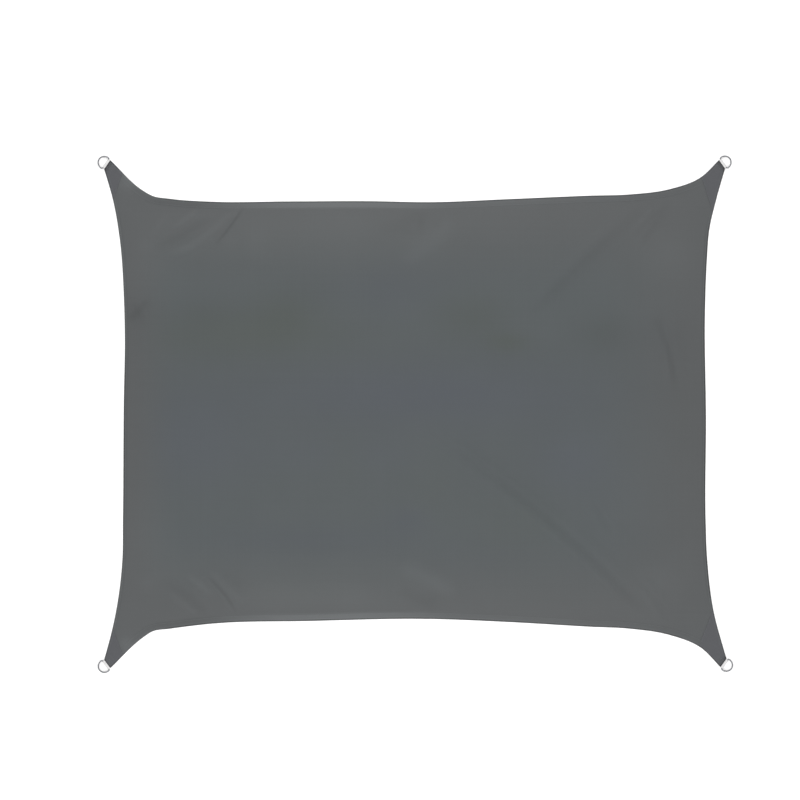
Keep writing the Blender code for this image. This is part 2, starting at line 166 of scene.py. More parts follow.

# Broad soft areas: their shade is painted light and shade, lighter or darker, and their blueness makes the
# dye bluer or greener.
AREAS = [
    # centre x, centre y, reach x, reach y, shade, blueness
    (-1.32, 1.49, 0.88, 0.21, 0.037, -0.2),
    (-0.51, 1.53, 0.32, 0.14, 0.042, 0.0),
    (0.28, 1.13, 0.64, 0.16, -0.030, 0.1),
    (-1.05, 0.81, 0.26, 0.18, -0.075, -0.5),
    (-1.63, 0.80, 0.27, 0.13, -0.045, -0.1),
    (-1.36, 0.63, 0.80, 0.19, -0.045, -0.7),
    (0.44, 0.78, 0.29, 0.19, -0.062, -0.5),
    (0.74, 0.57, 0.16, 0.08, -0.050, -0.8),
    (-2.23, 0.81, 0.10, 0.10, -0.060, 0.0),
    (-0.92, 0.19, 1.76, 0.32, -0.016, -0.1),
    (0.04, 0.15, 1.44, 0.27, -0.012, 1.0),
    (-1.80, -0.21, 0.48, 0.40, 0.010, 0.7),
    (-0.60, -0.33, 0.72, 0.16, 0.012, 0.4),
    (-0.56, -0.35, 0.16, 0.19, 0.008, -0.4),
    (0.13, -0.53, 0.19, 0.40, 0.000, -0.2),
    (-0.80, -1.02, 0.95, 0.14, -0.040, 0.4),
    (-0.06, -0.85, 0.18, 0.11, -0.032, 0.5),
    (0.60, -1.17, 0.48, 0.16, -0.035, 0.2),
    (0.80, -0.93, 0.40, 0.29, 0.000, -0.3),
    (-1.00, -1.46, 0.48, 0.13, 0.056, -0.3),
    (-0.48, -1.47, 0.27, 0.11, 0.043, 0.0),
    (2.00, 1.25, 0.21, 0.27, 0.065, 0.0),
    (1.97, -1.33, 0.21, 0.18, 0.063, 0.0),
    (1.64, -0.53, 0.48, 0.48, 0.040, 0.2),
    (1.50, 0.65, 0.18, 0.16, -0.050, -0.2),
    (2.00, 0.63, 0.16, 0.13, -0.021, 0.1),
    (2.20, 0.03, 0.16, 0.40, 0.000, -0.6),
    (-0.20, 0.99, 0.40, 0.24, -0.025, 0.4),
    (1.24, -0.37, 0.32, 0.24, 0.000, 0.6),
    (-2.15, 1.35, 0.06, 0.06, 0.040, 0.0),
    (-2.15, -1.36, 0.06, 0.06, 0.050, 0.0),
    (-2.12, 1.15, 0.18, 0.24, 0.044, 0.0),
    (-2.12, -1.01, 0.21, 0.29, 0.065, 0.0),
    (-2.30, 1.86, 0.07, 0.07, 0.200, 0.0),
    (-2.31, -1.85, 0.06, 0.06, 0.180, 0.0),
    (-0.75, 1.05, 0.50, 0.20, -0.035, 0.0),
    (0.60, 1.34, 0.45, 0.13, -0.026, 0.0),
    (0.60, 0.48, 0.90, 0.20, -0.022, 0.0),
    (1.58, 0.62, 0.20, 0.14, -0.030, 0.0),
    (-2.22, 0.78, 0.12, 0.12, -0.035, 0.0),
    (-1.95, -1.30, 0.25, 0.16, 0.022, 0.0),
    (-1.60, 0.48, 0.22, 0.12, -0.020, 0.0),
    (-1.83, 1.30, 0.12, 0.05, 0.030, 0.0),
    (-1.92, 1.66, 0.20, 0.05, -0.030, 0.0),
    (-1.27, 1.42, 0.09, 0.14, 0.025, 0.0),
    (-1.49, 1.39, 0.05, 0.06, 0.035, 0.0),
    (-1.45, 1.19, 0.36, 0.05, -0.020, 0.0),
    (-1.72, -1.37, 0.03, 0.03, 0.045, 0.0),
    (-1.42, -1.36, 0.04, 0.04, -0.035, 0.0),
    (0.12, -1.48, 0.09, 0.05, -0.035, 0.0),
    (0.05, 1.52, 0.03, 0.05, -0.060, 0.0),
    (0.17, 1.51, 0.04, 0.03, -0.040, 0.0),
    (-0.06, 1.46, 0.08, 0.03, -0.030, 0.0),
    (1.93, 0.73, 0.06, 0.06, -0.040, 0.0),
]

# How far in from the sail's sides its dye is a purer grey.
GREY_BORDER = {"left": 0.45, "right": 1.00, "long sides": 0.75}

# ---- the sail's finer shape ----

CLOTH_PITCH = 0.027
# The mesh is halved in each zone in turn, within its reach of the creases that aren't too wide for it.
FINE_ZONES = [
    # reach, half width of the widest crease
    (0.075, 1.000),
    (0.030, 0.025),
]
EDGE_STEPS = 12
MARK_SPACING = 0.003  # between the points of a side from which distances are taken
LONG_SIDE_LINES = (0, 0.003, 0.008, 0.015, 0.026, 0.038, 0.048, 0.055, 0.063)
SHORT_SIDE_LINES = (0, 0.003, 0.008, 0.015, 0.022, 0.029, 0.038)
HEM_SEAM = 0.052  # the inner edge of a long side's hem
NARROW_SEAM = 0.020  # the inner edge of a short side's hem
# Painted light on a long side's hem: how much lighter it looks along the sail, from left to right.
PAINTED_HEM_LIGHT = [
    (-2.20, 0.00), (-2.05, -0.06), (-1.75, -0.06), (-1.45, 0.10), (-1.05, 0.30),
    (-0.45, 0.34), (-0.10, 0.25), (0.30, 0.09), (1.25, 0.06), (1.70, 0.01), (2.00, 0.00),
]
HEM_LIGHT_START = 0.2  # from the sail's middle line: it rises over the next metre, so it is whole at the hems
RIM_SHADE = 0.36  # how dark the painted shade along the turned rims is
RIM_SIDES = 2.0  # further left or right than this, a rim counts as a short side's
LEFT_RIM = (-1.35, 0.75)  # the left side's rim has painted shade between these places, from bottom to top
LEFT_RIM_FADE = 0.5
RIGHT_RIM = 1.2  # how many times as dark the painted shade on the right side's rim is
RIM_UNDER_PATCH = 0.7  # the share of its painted shade that a rim loses under a corner patch
# Painted shade along a short side's hem, just inside its rim
NARROW_HEM_SHADE = 0.055
NEAR_PATCH = 0.04  # how far from the patches the cloth still counts as lying under them
NEAR_PATCH_FADE = 0.08
HEM_ROLL = 0.0012  # how far a long side's hem swells above its two layers
THICKEST = HEM_THICKNESS + HEM_ROLL

# Real stitches are 4 mm long; these are drawn twice as long and thick, so that a near view shows them.
STITCH_PITCH = 0.010
STITCH_LENGTH = 0.0075
STITCH_WIDTH = 0.0018
STITCH_HEIGHT = 0.0007
STITCH_SIDES = 6
STITCH_RINGS = 4
STITCH_AIM = 0.001  # the share of its line, ahead and behind, from which a stitch takes its direction
SEAM_TOLERANCE = 0.002  # how much nearer to the rim than its seam a stitch may lie
HEM_SEAMS = {"top": (0.010, 0.047), "bottom": (0.010, 0.047), "left": (0.016,), "right": (0.016,)}
PATCH_SEAM = 0.010
PATCH_SEAM_START = 0.05  # the share of the patch's way back at which its side seams start
PATCH_SEAM_POINTS = 40
BOX_REACH = (-0.040, -0.009)  # of the crossed box of stitches over each webbing's tail, behind the cut end
BOX_WIDTH = 0.042

# ---- the photograph's frame ----

FRAME_WIDTH = 6.4  # metres across the picture at the floor
FRAME_CENTRE = (-0.1224, 0.1096)
CAMERA_HEIGHT = 22.0
SENSOR = 36.0  # millimetres


# ---- helpers ----


def linear(hex_colour):
    """The linear RGBA of an sRGB hex colour."""
    parts = [int(hex_colour[i : i + 2], 16) / 255 for i in (1, 3, 5)]
    return (*(c / 12.92 if c <= 0.04045 else ((c + 0.055) / 1.055) ** 2.4 for c in parts), 1)


def node(tree, kind, *inputs, **settings):
    """Adds a node with its settings, and gives it its inputs in their order, or by name in a dictionary.

    An input is a value, or what is linked to it: an output, or a node in place of its first output.
    """
    made = tree.nodes.new("ShaderNode" + kind)
    for name, value in settings.items():
        setattr(made, name, value)
    named = inputs[0] if inputs and isinstance(inputs[0], dict) else dict(enumerate(inputs))
    for key, value in named.items():
        if isinstance(value, bpy.types.Node):
            value = value.outputs[0]
        if isinstance(value, bpy.types.NodeSocket):
            tree.links.new(value, made.inputs[key])
        else:
            made.inputs[key].default_value = value
    return made


def new_material(name, colour, roughness, **values):
    """A Principled material, with its shader and node tree."""
    material = bpy.data.materials.new(name)
    material.use_nodes = True
    shader = material.node_tree.nodes["Principled BSDF"]
    shader.inputs["Base Color"].default_value = linear(colour)
    shader.inputs["Roughness"].default_value = roughness
    for key, value in values.items():
        shader.inputs[key.replace("_", " ")].default_value = value
    return material, shader, material.node_tree


def add_object(name, data):
    made = bpy.data.objects.new(name, data)
    bpy.context.scene.collection.objects.link(made)
    return made


def add_mesh(name, bm, material):
    mesh = bpy.data.meshes.new(name)
    bm.to_mesh(mesh)
    bm.free()
    mesh.materials.append(material)
    return add_object(name, mesh)


def new_piece(name, bm, material, slot, *replaced):
    """Makes the piece from its mesh, shades it smooth, and lets it ride on the sail."""
    piece = add_mesh(name, bm, material)
    piece.data.shade_smooth()
    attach(piece, "root")
    if replaced:
        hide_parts(*replaced)
    return piece


def thicken(piece, thickness, offset):
    """Gives a sheet its thickness: above its mesh with an offset of 1, half to each side with 0."""
    sheet = piece.modifiers.new("thickness", "SOLIDIFY")
    sheet.thickness = thickness
    sheet.offset = offset
    return sheet


def set_attributes(piece, **given):
    """Numbers at each vertex, for the material."""
    for name, values in given.items():
        layer = piece.data.attributes.new(name, "FLOAT", "POINT")
        layer.data.foreach_set("value", np.asarray(values, np.float32))


def ease(values):
    """0 below 0, 1 above 1, and a smooth rise between."""
    values = np.clip(values, 0, 1)
    return values * values * (3 - 2 * values)


# ---- the outline ----


def smooth_line(points):
    """The points of a smooth curve through the given ones, which aims from each point at its neighbours."""
    points = [Vector((x, y, 0)) for x, y in points]
    spans = [b - a for a, b in zip(points, points[1:])]
    aims = [spans[0].normalized()]
    for before, after in zip(spans, spans[1:]):
        aim = before.normalized() * after.length + after.normalized() * before.length
        aims.append(aim / (before.length + after.length))
    aims.append(spans[-1].normalized())
    line = [points[0]]
    for i, span in enumerate(spans):
        reach = span.length / 3
        handles = points[i] + aims[i] * reach, points[i + 1] - aims[i + 1] * reach
        line += interpolate_bezier(points[i], *handles, points[i + 1], EDGE_STEPS + 1)[1:]
    return np.array([(p.x, p.y) for p in line])


def run_of(line):
    """How far along the line each of its points lies."""
    return np.concatenate([[0], np.cumsum(np.linalg.norm(np.diff(line, axis=0), axis=1))])


def along(line, shares):
    """The points at these shares of a line's length."""
    run = run_of(line)
    return np.column_stack([np.interp(shares, run / run[-1], line[:, k]) for k in (0, 1)])


EDGES = {
    "top": smooth_line(TOP_EDGE),
    "bottom": smooth_line(BOTTOM_EDGE),
    "left": smooth_line(LEFT_EDGE),
    "right": smooth_line(RIGHT_EDGE),
}
MID_WIDTH = along(EDGES["right"], [0.5])[0, 0] - along(EDGES["left"], [0.5])[0, 0]
MID_HEIGHT = along(EDGES["top"], [0.5])[0, 1] - along(EDGES["bottom"], [0.5])[0, 1]


class Corner:
    """A tip of the sail: the middle and direction of its cut end, and the two edges that run from it."""

    def __init__(self, name, long_reach, short_reach, cut_shade):
        self.name, self.cut_shade = name, cut_shade
        self.reaches = long_reach, short_reach
        upper, side = name.split("_")
        self.long_edge = EDGES[upper] if side == "left" else EDGES[upper][::-1]
        self.short_edge = EDGES[side] if upper == "top" else EDGES[side][::-1]
        cut = self.short_edge[0] - self.long_edge[0]
        self.middle = (self.long_edge[0] + self.short_edge[0]) / 2
        outward = np.array([cut[1], -cut[0]]) / np.linalg.norm(cut)
        self.outward = outward if outward @ self.middle > 0 else -outward

    def frame(self):
        """X points outward from the tip, Y runs along its cut end, and the origin is on the floor."""
        turn = math.atan2(self.outward[1], self.outward[0])
        return Matrix.Translation((*self.middle, 0)) @ Matrix.Rotation(turn, 4, "Z")

    def depth(self, points):
        """How far points lie behind the cut end."""
        return (self.middle - points) @ self.outward

    def at_depth(self, edge, depth):
        """The point of one of the tip's edges that lies this far behind the cut end."""
        return [np.interp(depth, self.depth(edge), edge[:, k]) for k in (0, 1)]

    def ends(self, long_depth, short_depth):
        """The points on the tip's two edges at these depths, in the tip's own frame."""
        to_tip = self.frame().inverted()
        long_end = self.at_depth(self.long_edge, long_depth)
        short_end = self.at_depth(self.short_edge, short_depth)
        return to_tip @ Vector((*long_end, 0)), to_tip @ Vector((*short_end, 0))


CORNERS = [Corner(*row) for row in PATCHES]


def distance_to(lines, points):
    """How far each point lies from the nearest of the lines."""
    marks = []
    for line in lines:
        count = round(run_of(line)[-1] / MARK_SPACING) + 1
        marks.append(along(line, np.linspace(0, 1, count)))
    marks = np.vstack(marks)
    tree = KDTree(len(marks))
    for index, (x, y) in enumerate(marks):
        tree.insert((x, y, 0), index)
    tree.balance()
    return np.array([tree.find((x, y, 0))[2] for x, y in points])


CUTS = [np.array([corner.long_edge[0], corner.short_edge[0]]) for corner in CORNERS]


def distances(points):
    """How far each point lies from the long sides, the short sides and the cut ends."""
    return (
        distance_to([EDGES["top"], EDGES["bottom"]], points),
        distance_to([EDGES["left"], EDGES["right"]], points),
        distance_to(CUTS, points),
    )


# ---- folds, creases and tone ----


def line_coordinates(points, x0, y0, x1, y1, bow):
    """Each point's share of the way along a bowed line, and its distance from the line."""
    start, way = np.array([x0, y0]), np.array([x1 - x0, y1 - y0])
    length = np.linalg.norm(way)
    forward, left = way / length, np.array([-way[1], way[0]]) / length
    share = np.clip((points - start) @ forward / length, 0, 1)
    aside = (points - start) @ left - 4 * bow * share * (1 - share)
    past = (points - start) @ forward - share * length
    return share, np.hypot(aside, past)


def bump_across(distance, half_width):
    return np.cos(np.clip(distance / half_width, 0, 1) * math.pi / 2) ** 2


def run_out(share):
    """1 along a fold's middle, falling to 0 at its two ends."""
    return np.sin(np.clip(np.minimum(share, 1 - share) / FOLD_RUN_OUT, 0, 1) * math.pi / 2)


def along_fold(points, line, half_width, amount, valley=False):
    """The amount on a fold's line, or on both banks of a valley, falling to 0 beside it and at its ends."""
    share, distance = line_coordinates(points, *line)
    if valley:
        distance = np.abs(distance - half_width)
    return amount * bump_across(distance, half_width) * run_out(share)


def cloth_heights(points):
    """The cloth's underside: its main folds, its creases, and the slight unevenness of laid cloth."""
    height = np.zeros(len(points))
    for kind, *line, half_width, rise in FOLDS:
        height += along_fold(points, line, half_width, rise, kind == "valley")
    for *line, half_width, _, lift in CREASES:
        height += along_fold(points, line, half_width, lift)
    x, y = points[:, 0], points[:, 1]
    waves = sum(
        np.sin(math.tau * (x * math.cos(turn) + y * math.sin(turn)) / length + start)
        for length, turn, start in WAVES
    )
    uneven = UNEVENNESS * (1 + waves / len(WAVES)) / 2
    from_long = MID_HEIGHT / 2 - LEVEL_BORDER["long sides"] - np.abs(y)
    from_short = MID_WIDTH / 2 - LEVEL_BORDER["short sides"] - np.abs(x)
    inland = ease(from_long / UNEVENNESS_RISE) * ease(from_short / UNEVENNESS_RISE)
    return np.maximum(height + uneven * inland, 0)


def spot(points, x, y, reach_x, reach_y):
    """1 at the middle of a soft oval spot, and falling off past its reach."""
    away = ((points[:, 0] - x) / reach_x) ** 2 + ((points[:, 1] - y) / reach_y) ** 2
    return np.exp(-away)


def shades(points):
    """Painted light and shade: how much lighter or darker the cloth is made at each point, by its creases and
    broad areas.
    """
    shade = np.zeros(len(points))
    for *line, half_width, amount, _ in CREASES:
        shade += along_fold(points, line, half_width, amount)
    for x, y, reach_x, reach_y, amount, _ in AREAS:
        shade += amount * spot(points, x, y, reach_x, reach_y)
    return shade


def blueness(points):
    """From -1, greenish, to 1, bluish."""
    blue = np.zeros(len(points))
    for x, y, reach_x, reach_y, _, amount in AREAS:
        blue += amount * spot(points, x, y, reach_x, reach_y)
    return np.clip(blue, -1, 1)


def greyness(points):
    """1 at the sail's borders, where its dye is a purer grey, and 0 further in."""
    x, y = points[:, 0], points[:, 1]
    left = ease((x + MID_WIDTH / 2) / GREY_BORDER["left"])
    right = ease((MID_WIDTH / 2 - x) / GREY_BORDER["right"])
    return 1 - left * right * ease((MID_HEIGHT / 2 - np.abs(y)) / GREY_BORDER["long sides"])


def near_patch(points):
    """1 where the cloth lies under a corner patch or close to it, falling to 0 some way off."""
    near = np.zeros(len(points))
    for corner in CORNERS:
        past = corner.depth(points) - max(corner.reaches)
        near = np.maximum(near, 1 - ease((past - NEAR_PATCH) / NEAR_PATCH_FADE))
    return near


def cloth_thickness(points, from_long, from_short):
    """Two layers in the hems and under the corner patches, and the swell of a long side's hem."""
    long_hem = ease((HEM_SEAM - from_long) / HEM_STEP + 1)
    short_hem = ease((NARROW_SEAM - from_short) / HEM_STEP + 1)
    under_patch = near_patch(points)
    doubled = np.max([long_hem, short_hem, under_patch], axis=0)
    layers = CLOTH_THICKNESS + (HEM_THICKNESS - CLOTH_THICKNESS) * doubled
    swell = np.sin(np.clip(from_long / HEM_SEAM, 0, 1) ** 0.5 * math.pi)
    return layers + HEM_ROLL * swell * (1 - under_patch)


# ---- the cloth ----


def stations(lines, size):
    """The shares of the way across the sail at which its mesh has a line, close together in the hems."""
    close = np.array(lines) / size
    middle = np.linspace(close[-1], 1 - close[-1], round(size / CLOTH_PITCH) + 1)
    return np.concatenate([close, middle[1:-1], 1 - close[::-1]])


def beside(side, down):
    """The points down a short side. The cut ends of the tips take up the hems' share of the way."""
    hem = LONG_SIDE_HEM / MID_HEIGHT
    upper, lower = EDGES["top"], EDGES["bottom"]
    end = 0 if side == "left" else -1
    edge = along(EDGES[side], np.clip((down - hem) / (1 - 2 * hem), 0, 1))
    above = np.clip(1 - down / hem, 0, 1)[:, None]
    below = np.clip(1 - (1 - down) / hem, 0, 1)[:, None]
    return edge + above * (upper[end] - edge) + below * (lower[end] - edge)


def cloth_plan():
    """The cloth's mesh in plan: each point follows the sail's edges, the nearer ones the more."""
    across, down = stations(SHORT_SIDE_LINES, MID_WIDTH), stations(LONG_SIDE_LINES, MID_HEIGHT)
    top, bottom = along(EDGES["top"], across), along(EDGES["bottom"], across)
    left, right = beside("left", down), beside("right", down)
    u, v = across[None, :, None], down[:, None, None]
    between_rows = (1 - v) * top + v * bottom
    between_columns = (1 - u) * left[:, None] + u * right[:, None]
    top_corners = (1 - u) * top[0] + u * top[-1]
    bottom_corners = (1 - u) * bottom[0] + u * bottom[-1]
    return between_rows + between_columns - (1 - v) * top_corners - v * bottom_corners


def near_creases(points, reach, widest):
    near = np.zeros(len(points), bool)
    for *line, half_width, _, _ in CREASES:
        if half_width <= widest:
            near |= line_coordinates(points, *line)[1] < reach
    return near


def rim_shades(points):
    """The painted shade along the turned rims: darkest on the right, fading at the left side's ends and at
    the tips.
    """
    x, y = points[:, 0], points[:, 1]
    low, high = LEFT_RIM
    up_the_side = ease((high - y) / LEFT_RIM_FADE) * ease((y - low) / LEFT_RIM_FADE)
    left = np.where(x < -RIM_SIDES, up_the_side, 1)
    right = np.where(x > RIM_SIDES, RIGHT_RIM, 1)
    return RIM_SHADE * left * right * (1 - RIM_UNDER_PATCH * near_patch(points))


def hem_light(points):
    """Painted light on the doubled hem of a long side: how much lighter it looks than the single cloth, along
    its length.
    """
    return np.interp(points[:, 0], *zip(*PAINTED_HEM_LIGHT)) * ease(np.abs(points[:, 1]) - HEM_LIGHT_START)


def make_cloth(material):
    plan = cloth_plan()
    rows, columns = plan.shape[:2]
    bm = bmesh.new()
    bmesh.ops.create_grid(bm, x_segments=columns - 1, y_segments=rows - 1, size=0.5)
    for vert in bm.verts:
        column = round((vert.co.x + 0.5) * (columns - 1))
        row = round((0.5 - vert.co.y) * (rows - 1))
        vert.co = (*plan[row, column], 0)
    for reach, widest in FINE_ZONES:
        near = near_creases(np.array([vert.co.xy for vert in bm.verts]), reach, widest)
        bm.verts.index_update()
        edges = [e for e in bm.edges if near[e.verts[0].index] and near[e.verts[1].index]]
        bmesh.ops.subdivide_edges(bm, edges=edges, cuts=1, use_grid_fill=True)
    points = np.array([vert.co.xy for vert in bm.verts])
    for vert, lift in zip(bm.verts, cloth_heights(points)):
        vert.co.z = lift
    cloth = new_piece("sewn_cloth", bm, material, "polyester_cloth", "sail_cloth")
    from_long, from_short, from_cut = distances(points)
    # The shade, rim shade and two hem attributes are painted light and shade; blueness and greyness are the
    # dye's own colour.
    set_attributes(
        cloth,
        shade=shades(points),
        blueness=blueness(points),
        greyness=greyness(points),
        from_long_side=from_long,
        from_short_side=from_short,
        from_rim=np.min([from_long, from_short, from_cut], axis=0),
        rim_shade=rim_shades(points),
        hem_light=hem_light(points),
        narrow_hem_light=-NARROW_HEM_SHADE * (1 - near_patch(points)),
    )
    group = cloth.vertex_groups.new(name="thickness")
    for index, thickness in enumerate(cloth_thickness(points, from_long, from_short)):
        group.add([index], thickness / THICKEST, "REPLACE")
    thicken(cloth, THICKEST, 1).vertex_group = group.name


# ---- the corner patches ----

PATCH_COLUMNS = 48
PATCH_ROWS = 36
CUT_SHADE_REACH = 0.045  # how far behind the cut end its painted shade reaches
# Painted shade along the patch's rims, with more of it towards the cut end.
PATCH_RIM_SHADE = 0.14
TIP_RIM_SHADE = 0.22  # what comes on top of it at the cut end
TIP_RIM_REACH = 0.14


def patch_height(x, y):
    """The patch's underside in the tip's frame: over the webbing's tail, down on the cloth around it."""
    behind = -x - WEBBING_TAIL - TAIL_CLEARANCE
    side = abs(y) - WEBBING_WIDTH / 2 - TAIL_CLEARANCE
    fall = min(max(behind, side, 0) / PATCH_FALL, 1)
    lift = (1 + math.cos(fall * math.pi)) / 2
    return TAIL_BOTTOM + lift * (TAIL_TOP + GAP - TAIL_BOTTOM)


def across_patch(corner, back):
    """The two points of the sail's rim beside the patch, in the tip's frame, at a share of its way back."""
    return corner.ends(*(PATCH_INSET + back * (reach - PATCH_INSET) for reach in corner.reaches))


def patch_point(corner, across, back):
    """A point of the patch in the tip's frame, by its share of the way across and of the way back."""
    a, b = across_patch(corner, back)
    inset = PATCH_INSET / (b - a).length
    place = a.lerp(b, inset + across * (1 - 2 * inset))
    return Vector((place.x, place.y, patch_height(place.x, place.y)))


def make_patch(corner, material):
    bm = bmesh.new()
    bmesh.ops.create_grid(bm, x_segments=PATCH_COLUMNS, y_segments=PATCH_ROWS, size=0.5)
    for vert in bm.verts:
        vert.co = patch_point(corner, vert.co.x + 0.5, vert.co.y + 0.5)
    bm.transform(corner.frame())
    bm.normal_update()
    if sum(face.normal.z for face in bm.faces) < 0:
        bmesh.ops.reverse_faces(bm, faces=bm.faces)
    points = np.array([vert.co.xy for vert in bm.verts])
    name = f"doubling_{corner.name}"
    patch = new_piece(name, bm, material, "reinforcing_cloth", f"corner_patch_{corner.name}")
    depth = corner.depth(points)
    # The shade and the rim shade are painted shade at the cut end and along the rims.
    set_attributes(
        patch,
        from_rim=np.min(distances(points), axis=0),
        shade=-corner.cut_shade * ease(1 - depth / CUT_SHADE_REACH),
        rim_shade=PATCH_RIM_SHADE + TIP_RIM_SHADE * ease(1 - depth / TIP_RIM_REACH),
        greyness=np.ones(len(points)),
    )
    thicken(patch, PATCH_THICKNESS, 1)
    length = corner.reaches[1]
    width = max(math.dist(*corner.ends(back, back)) for back in (0, length))


# ---- the stitching ----


def stitch_shape():
    """One stitch: a short low bead of thread."""
    bm = bmesh.new()
    bmesh.ops.create_uvsphere(bm, u_segments=STITCH_SIDES, v_segments=STITCH_RINGS, radius=0.5)
    # The sphere's poles point along the stitch.
    bmesh.ops.rotate(bm, verts=bm.verts, matrix=Matrix.Rotation(math.pi / 2, 3, "Y"))
    bmesh.ops.scale(bm, verts=bm.verts, vec=(STITCH_LENGTH, STITCH_WIDTH, 2 * STITCH_HEIGHT))
    return bm


def make_stitching(name, places, material, slot):
    """One mesh of all the stitches of a seam, each at its own place and turn."""
    shape = stitch_shape()
    shape.verts.index_update()
    beads = np.array([vert.co for vert in shape.verts])
    faces = [[vert.index for vert in face.verts] for face in shape.faces]
    shape.free()
    points, polygons = [], []
    for x, y, z, turn in places:
        c, s = math.cos(turn), math.sin(turn)
        base = len(points) * len(beads)
        points.append(beads @ np.array([[c, s, 0], [-s, c, 0], [0, 0, 1]]) + (x, y, z))
        polygons += [[base + index for index in face] for face in faces]
    mesh = bpy.data.meshes.new(name)
    mesh.from_pydata(np.vstack(points).tolist(), [], polygons)
    bm = bmesh.new()
    bm.from_mesh(mesh)
    bpy.data.meshes.remove(mesh)
    return new_piece(name, bm, material, slot)


def stitch_row(line, height_at):
    """A row of stitches along a line in plan: the place and turn of each, on top of the cloth there."""
    count = round(run_of(line)[-1] / STITCH_PITCH)
    shares = (np.arange(count) + 0.5) / count
    points = along(line, shares)
    ahead = along(line, shares + STITCH_AIM) - along(line, shares - STITCH_AIM)
    turns = np.arctan2(ahead[:, 1], ahead[:, 0])
    tops = height_at(points) + STITCH_HEIGHT / 4
    return np.column_stack([points, tops, turns])


def inset_line(line, inset):
    """The line moved by the inset to the side on which the sail lies."""
    ahead = np.gradient(line, axis=0)
    ahead /= np.linalg.norm(ahead, axis=1)[:, None]
    inward = np.column_stack([-ahead[:, 1], ahead[:, 0]])
    middle = len(line) // 2
    return line - inset * np.sign(inward[middle] @ line[middle]) * inward


def cloth_top(points):
    from_long, from_short, _ = distances(points)
    return cloth_heights(points) + cloth_thickness(points, from_long, from_short)


def clear_of_rim(points, inset):
    """True for stitches that lie well inside the cloth and outside the corner patches."""
    inside = np.min(distances(points), axis=0) > inset - SEAM_TOLERANCE
    for corner in CORNERS:
        a = np.array(corner.at_depth(corner.long_edge, corner.reaches[0]))
        b = np.array(corner.at_depth(corner.short_edge, corner.reaches[1]))
        square = np.array([b[1] - a[1], a[0] - b[0]]) / np.linalg.norm(b - a)
        square *= np.sign(square @ corner.outward)
        inside &= (points - a) @ square < -STITCH_LENGTH
    return inside


def hem_stitching(material):
    """The seams that hold the hems: two rows on a long side and one on a short side, up to the patches."""
    rows = []
    for side, insets in HEM_SEAMS.items():
        for inset in insets:
            row = stitch_row(inset_line(EDGES[side], inset), cloth_top)
            rows.append(row[clear_of_rim(row[:, :2], inset)])
    return make_stitching("hem_stitching", np.vstack(rows), material, "polyester_cloth")


def patch_seams(corner):
    """The seams of a corner patch: along three of its sides, and a crossed box over the webbing's tail."""
    backs = np.linspace(PATCH_SEAM_START, 1 - PATCH_SEAM / corner.reaches[1], PATCH_SEAM_POINTS)
    sides = [[], []]
    for back in backs:
        share = PATCH_SEAM / math.dist(*across_patch(corner, back))
        sides[0].append(patch_point(corner, share, back))
        sides[1].append(patch_point(corner, 1 - share, back))
    (far, near), half = BOX_REACH, BOX_WIDTH / 2
    box = [(near, -half), (near, half), (far, half), (far, -half)]
    lines = [sides[0], sides[1], [sides[0][-1], sides[1][-1]]]
    lines += [[box[i], box[j]] for i, j in ((0, 1), (1, 2), (2, 3), (3, 0), (0, 2), (1, 3))]
    place = corner.frame()
    return [np.array([(place @ Vector((p[0], p[1], 0))).xy for p in line]) for line in lines]


def patch_stitching(corner, material):
    to_tip = corner.frame().inverted()

    def patch_top(points):
        places = [to_tip @ Vector((x, y, 0)) for x, y in points]
        return np.array([patch_height(p.x, p.y) for p in places]) + PATCH_THICKNESS

    rows = [stitch_row(line, patch_top) for line in patch_seams(corner)]
    return make_stitching(f"tip_stitching_{corner.name}", np.vstack(rows), material, "reinforcing_cloth")


# ---- the webbing loops ----

WRAP_STEPS = 40
TAIL_STEPS = 3
STRAP_COLUMNS = 12
FOLD_SLACK = 0.0001  # between the two layers of the folded strap
SELVEDGE_ROUNDING = 0.0004


def strap_line():
    """The middle of the strap, seen from the side, x outward and z up: out, round the bar and back."""
    half = WEBBING_THICKNESS / 2
    radius = RING_WIRE / 2 + GAP + half
    bar = Vector((BAR_TO_CLOTH, BAR_HEIGHT))
    under, over = Vector((GAP, TAIL_BOTTOM + half)), Vector((-PATCH_INSET, TAIL_TOP - half))
    low, high = (
        math.atan2((p - bar).y, (p - bar).x) - side * math.acos(radius / (p - bar).length)
        for p, side in ((under, -1), (over, 1))
    )
    sweep = (high - low) % (2 * math.pi)
    turns = np.linspace(low, low + sweep, WRAP_STEPS + 1)
    wrap = [bar + radius * Vector((math.cos(turn), math.sin(turn))) for turn in turns]
    tail = np.linspace(-WEBBING_TAIL, 0, TAIL_STEPS, endpoint=False)
    lower = [Vector((x, under.y)) for x in tail]
    upper = [Vector((x, over.y)) for x in tail[::-1]]
    return [*lower, under, *wrap, over, *upper]


def tail_end(corner):
    """How far across the tip the trimmed side of the webbing's tail still reaches at its end."""
    rim = corner.ends(WEBBING_TAIL, WEBBING_TAIL)[0].y
    return rim - math.copysign(TAIL_TRIM, rim)


